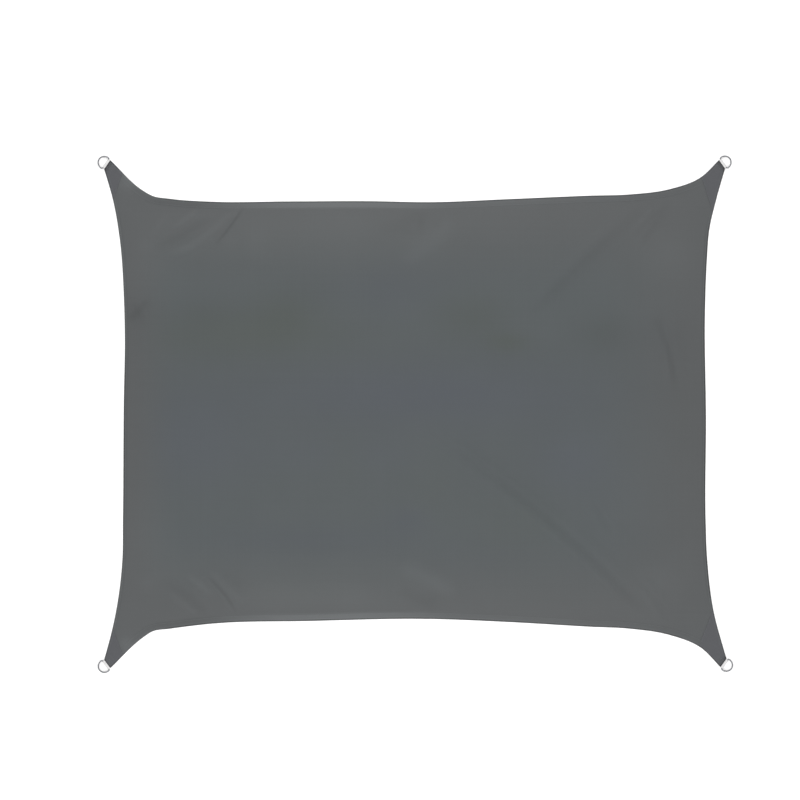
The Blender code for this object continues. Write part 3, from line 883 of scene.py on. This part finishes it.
def make_strap(corner, material):
    line = strap_line()
    run = run_of(np.array(line))
    rows = len(line) - 1
    half, trimmed = WEBBING_WIDTH / 2, tail_end(corner)
    bm = bmesh.new()
    uv = bm.loops.layers.uv.new("UVMap")
    bmesh.ops.create_grid(bm, x_segments=STRAP_COLUMNS, y_segments=rows, size=0.5)
    for vert in bm.verts:
        row = round((vert.co.y + 0.5) * rows)
        x, z = line[row]
        y = vert.co.x * WEBBING_WIDTH
        if y * trimmed > 0:
            y *= 1 - (1 - abs(trimmed) / half) * max(-x, 0) / WEBBING_TAIL
        vert.co = (x, y, z)
        for loop in vert.link_loops:
            loop[uv].uv = half + y, run[row]
    bm.transform(corner.frame())
    name = f"strap_{corner.name}"
    strap = new_piece(name, bm, material, "webbing", f"webbing_loop_{corner.name}")
    thicken(strap, WEBBING_THICKNESS - FOLD_SLACK, 0)
    rounded = strap.modifiers.new("rounded", "BEVEL")
    rounded.width = SELVEDGE_ROUNDING
    rounded.segments = 2
    rounded.limit_method = "ANGLE"


# ---- the D rings ----

WIRE_SIDES = 20
BOW_STEPS = 56
BEND_STEPS = 10


def ring_path():
    """The wire's centre line in the ring's plane: the bar on x = 0, two bends, and a bow out to the crest."""
    half = RING_WIDTH / 2
    bar_end = half - RING_BEND
    path = []
    for i in range(BEND_STEPS + 1):
        turn = math.pi / 2 * i / BEND_STEPS
        path.append((RING_BEND * (1 - math.cos(turn)), bar_end + RING_BEND * math.sin(turn)))
    for i in range(1, BOW_STEPS):
        turn = math.pi * i / BOW_STEPS
        path.append((RING_BEND + (RING_DEPTH - RING_BEND) * math.sin(turn), half * math.cos(turn)))
    path += [(x, -y) for x, y in reversed(path[: BEND_STEPS + 1])]
    return [Vector((x, y, 0)) for x, y in path]


def make_ring(corner, material):
    path = ring_path()
    bm = bmesh.new()
    hoops = []
    for before, here, after in zip([path[-1], *path], path, [*path[1:], path[0]]):
        turn = (after - before).to_track_quat("Z", "Y").to_matrix().to_4x4()
        made = bmesh.ops.create_circle(
            bm, segments=WIRE_SIDES, radius=RING_WIRE / 2, matrix=Matrix.Translation(here) @ turn
        )
        hoop = made["verts"]
        hoops.append(list({edge for vert in hoop for edge in vert.link_edges}))
    for hoop, following in zip(hoops, [*hoops[1:], hoops[0]]):
        bmesh.ops.bridge_loops(bm, edges=hoop + following)
    bmesh.ops.recalc_face_normals(bm, faces=bm.faces)
    place = Matrix.Translation((BAR_TO_CLOTH, 0, BAR_HEIGHT)) @ Matrix.Rotation(RING_TILT, 4, "Y")
    bm.transform(corner.frame() @ place)
    return new_piece(f"wire_{corner.name}", bm, material, "polished_steel", f"d_ring_{corner.name}")


# ---- materials ----

# The real threads are 0.4 mm apart; ten are drawn as one, so that a near view shows them.
THREAD_SPACING = 0.004
THREAD_SHADE = 0.06
THREAD_RELIEF = 0.0002
RIB_SPACING = 0.003  # the real ribs are 1.5 mm apart, and drawn coarser for the same reason
RIB_RELIEF = 0.0002
WEBBING_GREY = "#CDCCCC"
THREAD_GREY = "#5E6263"
WEBBING_WEAR = (60.0, 60.0, 60.0)  # how many times it changes in a metre
WEBBING_WEAR_SHADE = 0.08
PLY_SPACING = 0.0012  # between the plies of the sewing thread, drawn as coarse as its stitches
PLY_SHADE = 0.10
PLY_RELIEF = 0.0001
THREAD_WEAR = (150.0, 150.0, 150.0)
THREAD_WEAR_SHADE = 0.20
STEEL_ROUGHNESS = 0.24
POLISHING_MARKS = ((160.0, 160.0, 160.0), 6.0)
MARK_ROUGHNESS = 0.25
BENDING_WAVES = ((90.0, 90.0, 90.0), 4.0)
BENDING_RELIEF = 0.0002

# Uneven tension in the loom: broad soft patches, and faint bands along the warp and the weft.
LOOM = [
    # how many times it changes in a metre along X, Y and Z, its detail, how strong it is
    ((2.2, 2.2, 2.2), 5.0, 0.07),
    ((0.6, 70.0, 1.0), 3.0, 0.05),
    ((70.0, 0.6, 1.0), 3.0, 0.04),
]
PUCKERS = ((28.0, 28.0, 28.0), 3.0)
PUCKER_RELIEF = 0.0012

# What the cloth's mesh tells its material at each point.
CLOTH_ATTRIBUTES = (
    "shade", "blueness", "greyness", "from_long_side", "from_short_side", "from_rim",
    "rim_shade", "hem_light", "narrow_hem_light",
)
MIX_A, MIX_B, MIX_COLOUR = 6, 7, 2  # the places of a Mix node's two colours and of the one that it gives

# The painted light and shade that the hems and rims draw, by distance from the sail's edge.
HEM_LIGHT_FADE = (0.040, 0.070)
TURNED_EDGE = (0.009, 0.012)
# The lip just inside the turned rim, with a painted highlight.
LIP_PLACE = 0.016
LIP_WIDTHS = (0.003, 0.006)
PAINTED_LIP_LIGHT = 0.06
NARROW_HEM_PLACE = 0.024
NARROW_HEM_WIDTHS = (0.005, 0.010)
SEAM_WIDTHS = (0.001, 0.004)
SEAM_SHADE = 0.06
NARROW_SEAM_SHADE = 0.05


def mottling(tree, place, stretch, detail=3.0):
    """Soft spots around 0. The stretch is how many times they change in a metre along X, Y and Z."""
    mapped = node(tree, "Mapping", {"Vector": place, "Scale": stretch})
    spots = node(tree, "TexNoise", {"Vector": mapped, "Scale": 1.0, "Detail": detail})
    return node(tree, "Math", spots, 0.5, operation="SUBTRACT")


def band(tree, distance, middle, widths):
    """1 on a line at this distance, falling to 0 between the two widths to each side of it."""
    aside = node(tree, "Math", distance, middle, operation="SUBTRACT")
    away = node(tree, "Math", aside, operation="ABSOLUTE")
    limits = {"Value": away, "From Min": widths[0], "From Max": widths[1], "To Min": 1.0, "To Max": 0.0}
    return node(tree, "MapRange", limits, interpolation_type="SMOOTHSTEP")


def threads(tree, place, spacing):
    """The crowns of a plain weave's threads, over and under each other: from -1 to 1."""
    parts = node(tree, "SeparateXYZ", place)
    waves = []
    for axis in ("X", "Y"):
        turned = node(tree, "Math", parts.outputs[axis], math.pi / spacing, operation="MULTIPLY")
        waves.append(node(tree, "Math", turned, operation="SINE"))
    return node(tree, "Math", *waves, operation="MULTIPLY")


def finish_surface(tree, shader, colour, light, relief):
    """Gives the shader its colour, lighter or darker from place to place, and its relief."""
    scaled = node(tree, "VectorMath", {0: colour, "Scale": light}, operation="SCALE")
    tree.links.new(scaled.outputs[0], shader.inputs["Base Color"])
    tree.links.new(relief.outputs[0], shader.inputs["Normal"])


def woven_polyester(name, green, blue, grey):
    """Plain-woven polyester, dyed in the yarn and matt, with painted shade along the rims where it is turned
    over.

    The dye lies between the three colours. The piece's attributes give the painted light and shade that make
    it lighter or darker, and say where its dye is bluer or a purer grey.
    """
    material, shader, tree = new_material(name, green, roughness=0.80, Specular_IOR_Level=0.30)
    place = node(tree, "TexCoord").outputs["Object"]
    given = {key: node(tree, "Attribute", attribute_name=key).outputs["Fac"] for key in CLOTH_ATTRIBUTES}
    bluish = node(tree, "Math", given["blueness"], 0.5, 0.5, operation="MULTIPLY_ADD")
    dye = node(tree, "Mix", {0: bluish, MIX_A: linear(green), MIX_B: linear(blue)}, data_type="RGBA")
    dyes = {0: given["greyness"], MIX_A: dye.outputs[MIX_COLOUR], MIX_B: linear(grey)}
    dye = node(tree, "Mix", dyes, data_type="RGBA")
    from_long, from_short = given["from_long_side"], given["from_short_side"]
    # Painted light along the long sides' hems and on the lip inside the rim, painted shade along the short
    # sides' hems, and the loom's uneven tension.
    lighter = [
        (given["hem_light"], band(tree, from_long, 0.0, HEM_LIGHT_FADE)),
        (given["narrow_hem_light"], band(tree, from_short, NARROW_HEM_PLACE, NARROW_HEM_WIDTHS)),
        (PAINTED_LIP_LIGHT, band(tree, given["from_rim"], LIP_PLACE, LIP_WIDTHS)),
        *((strength, mottling(tree, place, stretch, detail)) for stretch, detail, strength in LOOM),
    ]
    # Painted shade: along the turned rim, and at the shallow step on the inner edge of each hem.
    darker = [
        (given["rim_shade"], band(tree, given["from_rim"], 0.0, TURNED_EDGE)),
        (SEAM_SHADE, band(tree, from_long, HEM_SEAM, SEAM_WIDTHS)),
        (NARROW_SEAM_SHADE, band(tree, from_short, NARROW_SEAM, SEAM_WIDTHS)),
    ]
    # The shade attribute is painted light and shade, from the creases, the broad areas and the cut ends.
    light = node(tree, "Math", given["shade"], 1.0, operation="ADD")
    for strength, share in lighter:
        light = node(tree, "Math", strength, share, light, operation="MULTIPLY_ADD")
    for strength, share in darker:
        lost = node(tree, "Math", strength, share, operation="MULTIPLY")
        left = node(tree, "Math", 1.0, lost, operation="SUBTRACT")
        light = node(tree, "Math", light, left, operation="MULTIPLY")
    crowns = threads(tree, place, THREAD_SPACING)
    woven = node(tree, "Math", crowns, THREAD_SHADE, 1.0, operation="MULTIPLY_ADD")
    light = node(tree, "Math", light, woven, operation="MULTIPLY")
    puckers = node(tree, "Bump", {"Height": mottling(tree, place, *PUCKERS), "Distance": PUCKER_RELIEF})
    relief = node(tree, "Bump", {"Height": crowns, "Distance": THREAD_RELIEF, "Normal": puckers})
    finish_surface(tree, shader, dye.outputs[MIX_COLOUR], light, relief)
    return material


def polyester_thread():
    """Bonded sewing thread in the cloth's own grey: the plies that it is twisted from have a slight sheen."""
    name = "bonded_polyester_thread"
    material, shader, tree = new_material(name, THREAD_GREY, roughness=0.55, Specular_IOR_Level=0.40)
    place = node(tree, "TexCoord").outputs["Object"]
    plies = threads(tree, place, PLY_SPACING)
    light = node(tree, "Math", plies, PLY_SHADE, 1.0, operation="MULTIPLY_ADD")
    wear = mottling(tree, place, THREAD_WEAR)
    light = node(tree, "Math", wear, THREAD_WEAR_SHADE, light, operation="MULTIPLY_ADD")
    relief = node(tree, "Bump", {"Height": plies, "Distance": PLY_RELIEF})
    finish_surface(tree, shader, linear(THREAD_GREY)[:3], light, relief)
    return material


def polyester_webbing():
    """Light grey polyester webbing: flat ribs across it, woven with a close firm edge."""
    name = "polyester_webbing"
    material, shader, tree = new_material(name, WEBBING_GREY, roughness=0.65, Specular_IOR_Level=0.35)
    place = node(tree, "TexCoord").outputs["UV"]
    along_strap = node(tree, "SeparateXYZ", place).outputs["Y"]
    turned = node(tree, "Math", along_strap, math.tau / RIB_SPACING, operation="MULTIPLY")
    ribs = node(tree, "Math", turned, operation="SINE")
    crowns = threads(tree, place, RIB_SPACING)
    light = node(tree, "Math", crowns, THREAD_SHADE, 1.0, operation="MULTIPLY_ADD")
    wear = mottling(tree, place, WEBBING_WEAR)
    light = node(tree, "Math", wear, WEBBING_WEAR_SHADE, light, operation="MULTIPLY_ADD")
    ribbed = node(tree, "Bump", {"Height": ribs, "Distance": RIB_RELIEF})
    relief = node(tree, "Bump", {"Height": crowns, "Distance": THREAD_RELIEF, "Normal": ribbed})
    finish_surface(tree, shader, linear(WEBBING_GREY)[:3], light, relief)
    return material


def polished_steel():
    """Stainless steel rod, bent, welded and polished: bright, with faint waves and the polishing's marks."""
    name = "polished_stainless_steel"
    material, shader, tree = new_material(name, "#7C7D80", STEEL_ROUGHNESS, Metallic=1.0)
    place = node(tree, "TexCoord").outputs["Object"]
    marks = mottling(tree, place, *POLISHING_MARKS)
    roughness = node(tree, "Math", marks, MARK_ROUGHNESS, STEEL_ROUGHNESS, operation="MULTIPLY_ADD")
    tree.links.new(roughness.outputs[0], shader.inputs["Roughness"])
    waves = mottling(tree, place, *BENDING_WAVES)
    relief = node(tree, "Bump", {"Height": waves, "Distance": BENDING_RELIEF})
    tree.links.new(relief.outputs[0], shader.inputs["Normal"])
    return material


# ---- floor, light and camera ----

FLOOR_REACH = 30
FLOOR_GLOW = 0.15
FLOOR_DEPTH = 0.0006  # how far the floor lies under the sail, so that the two don't show through each other
SKY_LOW = 2.30
SKY_OVERHEAD = 0.50
LAMP_POWER = 50  # watts
LAMP_LENGTH = 4.5
LAMP_WIDTH = 0.8
LAMP_MIDDLE = -0.1
LAMP_AWAY = 3.9  # from the sail's middle line
LAMP_HEIGHT = 1.7
LAMP_AIM = 1.2  # how far from that line the middle of its light falls


def make_floor():
    material, shader, _ = new_material("matt_white_floor", "#F2F2F2", roughness=0.9)
    # The studio's floor is overlit, so that it shows as pure white and hides most of the soft shadows on it.
    shader.inputs["Emission Color"].default_value = (1, 1, 1, 1)
    shader.inputs["Emission Strength"].default_value = FLOOR_GLOW
    bm = bmesh.new()
    bmesh.ops.create_grid(bm, x_segments=1, y_segments=1, size=FLOOR_REACH)
    bmesh.ops.translate(bm, verts=bm.verts, vec=(0, 0, -FLOOR_DEPTH))
    floor = add_mesh("floor", bm, material)


def make_sky():
    """A plain white studio: bright low down and darker overhead, so that the steel has something to show."""
    world = bpy.data.worlds.new("studio")
    world.use_nodes = True
    bpy.context.scene.world = world
    tree = world.node_tree
    up = node(tree, "SeparateXYZ", node(tree, "TexCoord").outputs["Generated"]).outputs["Z"]
    limits = {"Value": up, "From Min": 0.0, "From Max": 1.0, "To Min": SKY_LOW, "To Max": SKY_OVERHEAD}
    strength = node(tree, "MapRange", limits)
    tree.links.new(strength.outputs[0], tree.nodes["Background"].inputs["Strength"])
    tree.nodes["Background"].inputs["Color"].default_value = (1, 1, 1, 1)


def make_lamps():
    """Two long soft lamps, low beyond the two long sides."""
    for name, side in (("lamp_beyond_top", 1), ("lamp_beyond_bottom", -1)):
        light = bpy.data.lights.new(name, "AREA")
        light.shape = "RECTANGLE"
        light.size, light.size_y = LAMP_LENGTH, LAMP_WIDTH
        light.energy = LAMP_POWER
        lamp = add_object(name, light)
        lamp.location = (LAMP_MIDDLE, side * LAMP_AWAY, LAMP_HEIGHT)
        aim = Vector((LAMP_MIDDLE, side * LAMP_AIM, 0)) - lamp.location
        lamp.rotation_euler = aim.to_track_quat("-Z", "Y").to_euler()
        lamp.visible_camera = False


def make_camera():
    """Straight above the sail, far off through a long lens, with the picture's top towards +Y."""
    data = bpy.data.cameras.new("camera")
    data.sensor_width = SENSOR
    data.lens = SENSOR * CAMERA_HEIGHT / FRAME_WIDTH
    camera = add_object("camera", data)
    camera.location = (*FRAME_CENTRE, CAMERA_HEIGHT)
    bpy.context.scene.camera = camera


# ---- everything together ----

bpy.context.scene.view_settings.view_transform = "Standard"

sail_cloth = woven_polyester("woven_polyester", "#4D5250", "#4D5156", "#505253")
patch_cloth = woven_polyester("doubled_polyester", "#4E4F52", "#4E4F52", "#4E4F52")
thread = polyester_thread()
webbing = polyester_webbing()
steel = polished_steel()

make_cloth(sail_cloth)
hem_stitching(thread)
for corner in CORNERS:
    make_ring(corner, steel)
    make_strap(corner, webbing)
    make_patch(corner, patch_cloth)
    patch_stitching(corner, thread)

make_floor()
make_sky()
make_lamps()
make_camera()
